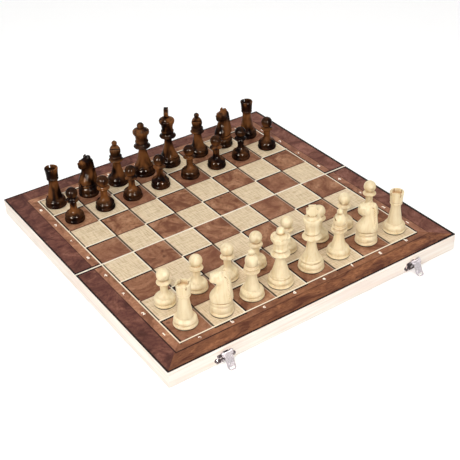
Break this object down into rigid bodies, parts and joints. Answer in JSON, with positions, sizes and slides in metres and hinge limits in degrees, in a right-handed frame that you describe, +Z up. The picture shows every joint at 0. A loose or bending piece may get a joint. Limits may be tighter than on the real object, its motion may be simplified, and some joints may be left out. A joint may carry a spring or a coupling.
{
  "type": "folding wooden games compendium box with chess men",
  "caption": "Wooden games compendium that folds in the middle, opened flat as a chess board with a full set of turned men in their places.",
  "frame": {"origin": "on the table, under the centre of the whole part, box opened flat and men in place", "axes": "+X along the fold to the right, +Y from the front leaf with the light men to the back leaf with the dark men, +Z up"},
  "size_m": [0.39, 0.409, 0.1013],
  "materials": {
    "printed_panel": "satin printed veneer",
    "pale_wood": "satin",
    "nickel": "bright nickel plate",
    "dark_men": "gloss lacquer",
    "light_men": "satin lacquer"
  },
  "bodies": {
    "back_leaf": {"back_panel": "printed_panel", "back_outer_rail": "pale_wood", "back_seam_rail": "pale_wood", "back_left_rail": "pale_wood", "back_right_rail": "pale_wood", "left_hinge_back_plate": "nickel", "left_hinge_pin": "nickel", "right_hinge_back_plate": "nickel", "right_hinge_pin": "nickel", "hinge_screws_back": "nickel", "left_clasp_catch": "nickel", "right_clasp_catch": "nickel", "clasp_nails_back": "nickel"},
    "front_leaf": {"front_panel": "printed_panel", "front_outer_rail": "pale_wood", "front_seam_rail": "pale_wood", "front_left_rail": "pale_wood", "front_right_rail": "pale_wood", "left_hinge_front_plate": "nickel", "right_hinge_front_plate": "nickel", "hinge_screws_front": "nickel", "left_clasp_plate": "nickel", "right_clasp_plate": "nickel", "clasp_nails_front": "nickel"},
    "left_clasp": {"left_clasp_lever": "nickel", "left_clasp_pin": "nickel"},
    "right_clasp": {"right_clasp_lever": "nickel", "right_clasp_pin": "nickel"},
    "dark_rook_left_man": {"dark_rook_left": "dark_men"},
    "dark_knight_left_man": {"dark_knight_left": "dark_men"},
    "dark_bishop_left_man": {"dark_bishop_left": "dark_men"},
    "dark_queen_man": {"dark_queen": "dark_men"},
    "dark_king_man": {"dark_king": "dark_men"},
    "dark_bishop_right_man": {"dark_bishop_right": "dark_men"},
    "dark_knight_right_man": {"dark_knight_right": "dark_men"},
    "dark_rook_right_man": {"dark_rook_right": "dark_men"},
    "dark_pawn_1_man": {"dark_pawn_1": "dark_men"},
    "dark_pawn_2_man": {"dark_pawn_2": "dark_men"},
    "dark_pawn_3_man": {"dark_pawn_3": "dark_men"},
    "dark_pawn_4_man": {"dark_pawn_4": "dark_men"},
    "dark_pawn_5_man": {"dark_pawn_5": "dark_men"},
    "dark_pawn_6_man": {"dark_pawn_6": "dark_men"},
    "dark_pawn_7_man": {"dark_pawn_7": "dark_men"},
    "dark_pawn_8_man": {"dark_pawn_8": "dark_men"},
    "white_rook_left_man": {"white_rook_left": "light_men"},
    "white_knight_left_man": {"white_knight_left": "light_men"},
    "white_bishop_left_man": {"white_bishop_left": "light_men"},
    "white_queen_man": {"white_queen": "light_men"},
    "white_king_man": {"white_king": "light_men"},
    "white_bishop_right_man": {"white_bishop_right": "light_men"},
    "white_knight_right_man": {"white_knight_right": "light_men"},
    "white_rook_right_man": {"white_rook_right": "light_men"},
    "white_pawn_1_man": {"white_pawn_1": "light_men"},
    "white_pawn_2_man": {"white_pawn_2": "light_men"},
    "white_pawn_3_man": {"white_pawn_3": "light_men"},
    "white_pawn_4_man": {"white_pawn_4": "light_men"},
    "white_pawn_5_man": {"white_pawn_5": "light_men"},
    "white_pawn_6_man": {"white_pawn_6": "light_men"},
    "white_pawn_7_man": {"white_pawn_7": "light_men"},
    "white_pawn_8_man": {"white_pawn_8": "light_men"}
  },
  "joints": [
    {"name": "board_fold", "type": "hinge", "parent": "back_leaf", "child": "front_leaf", "pos_m": [0, 0.00598, 0.00125], "axis": [1, 0, 0], "range_deg": [0, 180]},
    {"name": "clasp_left_swing", "type": "hinge", "parent": "front_leaf", "child": "left_clasp", "pos_m": [-0.1285, -0.19192, 0.0143], "axis": [-1, 0, 0], "range_deg": [-39.28, 90]},
    {"name": "clasp_right_swing", "type": "hinge", "parent": "front_leaf", "child": "right_clasp", "pos_m": [0.1285, -0.19192, 0.0143], "axis": [-1, 0, 0], "range_deg": [-39.28, 90]},
    {"name": "dark_rook_left_lift", "type": "slide", "parent": "back_leaf", "child": "dark_rook_left_man", "axis": [0, 0, 1], "range_m": [0, 0.1]},
    {"name": "dark_knight_left_lift", "type": "slide", "parent": "back_leaf", "child": "dark_knight_left_man", "axis": [0, 0, 1], "range_m": [0, 0.1]},
    {"name": "dark_bishop_left_lift", "type": "slide", "parent": "back_leaf", "child": "dark_bishop_left_man", "axis": [0, 0, 1], "range_m": [0, 0.1]},
    {"name": "dark_queen_lift", "type": "slide", "parent": "back_leaf", "child": "dark_queen_man", "axis": [0, 0, 1], "range_m": [0, 0.1]},
    {"name": "dark_king_lift", "type": "slide", "parent": "back_leaf", "child": "dark_king_man", "axis": [0, 0, 1], "range_m": [0, 0.1]},
    {"name": "dark_bishop_right_lift", "type": "slide", "parent": "back_leaf", "child": "dark_bishop_right_man", "axis": [0, 0, 1], "range_m": [0, 0.1]},
    {"name": "dark_knight_right_lift", "type": "slide", "parent": "back_leaf", "child": "dark_knight_right_man", "axis": [0, 0, 1], "range_m": [0, 0.1]},
    {"name": "dark_rook_right_lift", "type": "slide", "parent": "back_leaf", "child": "dark_rook_right_man", "axis": [0, 0, 1], "range_m": [0, 0.1]},
    {"name": "dark_pawn_1_lift", "type": "slide", "parent": "back_leaf", "child": "dark_pawn_1_man", "axis": [0, 0, 1], "range_m": [0, 0.1]},
    {"name": "dark_pawn_2_lift", "type": "slide", "parent": "back_leaf", "child": "dark_pawn_2_man", "axis": [0, 0, 1], "range_m": [0, 0.1]},
    {"name": "dark_pawn_3_lift", "type": "slide", "parent": "back_leaf", "child": "dark_pawn_3_man", "axis": [0, 0, 1], "range_m": [0, 0.1]},
    {"name": "dark_pawn_4_lift", "type": "slide", "parent": "back_leaf", "child": "dark_pawn_4_man", "axis": [0, 0, 1], "range_m": [0, 0.1]},
    {"name": "dark_pawn_5_lift", "type": "slide", "parent": "back_leaf", "child": "dark_pawn_5_man", "axis": [0, 0, 1], "range_m": [0, 0.1]},
    {"name": "dark_pawn_6_lift", "type": "slide", "parent": "back_leaf", "child": "dark_pawn_6_man", "axis": [0, 0, 1], "range_m": [0, 0.1]},
    {"name": "dark_pawn_7_lift", "type": "slide", "parent": "back_leaf", "child": "dark_pawn_7_man", "axis": [0, 0, 1], "range_m": [0, 0.1]},
    {"name": "dark_pawn_8_lift", "type": "slide", "parent": "back_leaf", "child": "dark_pawn_8_man", "axis": [0, 0, 1], "range_m": [0, 0.1]},
    {"name": "white_rook_left_lift", "type": "slide", "parent": "front_leaf", "child": "white_rook_left_man", "axis": [0, 0, 1], "range_m": [0, 0.1]},
    {"name": "white_knight_left_lift", "type": "slide", "parent": "front_leaf", "child": "white_knight_left_man", "axis": [0, 0, 1], "range_m": [0, 0.1]},
    {"name": "white_bishop_left_lift", "type": "slide", "parent": "front_leaf", "child": "white_bishop_left_man", "axis": [0, 0, 1], "range_m": [0, 0.1]},
    {"name": "white_queen_lift", "type": "slide", "parent": "front_leaf", "child": "white_queen_man", "axis": [0, 0, 1], "range_m": [0, 0.1]},
    {"name": "white_king_lift", "type": "slide", "parent": "front_leaf", "child": "white_king_man", "axis": [0, 0, 1], "range_m": [0, 0.1]},
    {"name": "white_bishop_right_lift", "type": "slide", "parent": "front_leaf", "child": "white_bishop_right_man", "axis": [0, 0, 1], "range_m": [0, 0.1]},
    {"name": "white_knight_right_lift", "type": "slide", "parent": "front_leaf", "child": "white_knight_right_man", "axis": [0, 0, 1], "range_m": [0, 0.1]},
    {"name": "white_rook_right_lift", "type": "slide", "parent": "front_leaf", "child": "white_rook_right_man", "axis": [0, 0, 1], "range_m": [0, 0.1]},
    {"name": "white_pawn_1_lift", "type": "slide", "parent": "front_leaf", "child": "white_pawn_1_man", "axis": [0, 0, 1], "range_m": [0, 0.1]},
    {"name": "white_pawn_2_lift", "type": "slide", "parent": "front_leaf", "child": "white_pawn_2_man", "axis": [0, 0, 1], "range_m": [0, 0.1]},
    {"name": "white_pawn_3_lift", "type": "slide", "parent": "front_leaf", "child": "white_pawn_3_man", "axis": [0, 0, 1], "range_m": [0, 0.1]},
    {"name": "white_pawn_4_lift", "type": "slide", "parent": "front_leaf", "child": "white_pawn_4_man", "axis": [0, 0, 1], "range_m": [0, 0.1]},
    {"name": "white_pawn_5_lift", "type": "slide", "parent": "front_leaf", "child": "white_pawn_5_man", "axis": [0, 0, 1], "range_m": [0, 0.1]},
    {"name": "white_pawn_6_lift", "type": "slide", "parent": "front_leaf", "child": "white_pawn_6_man", "axis": [0, 0, 1], "range_m": [0, 0.1]},
    {"name": "white_pawn_7_lift", "type": "slide", "parent": "front_leaf", "child": "white_pawn_7_man", "axis": [0, 0, 1], "range_m": [0, 0.1]},
    {"name": "white_pawn_8_lift", "type": "slide", "parent": "front_leaf", "child": "white_pawn_8_man", "axis": [0, 0, 1], "range_m": [0, 0.1]}
  ]
}
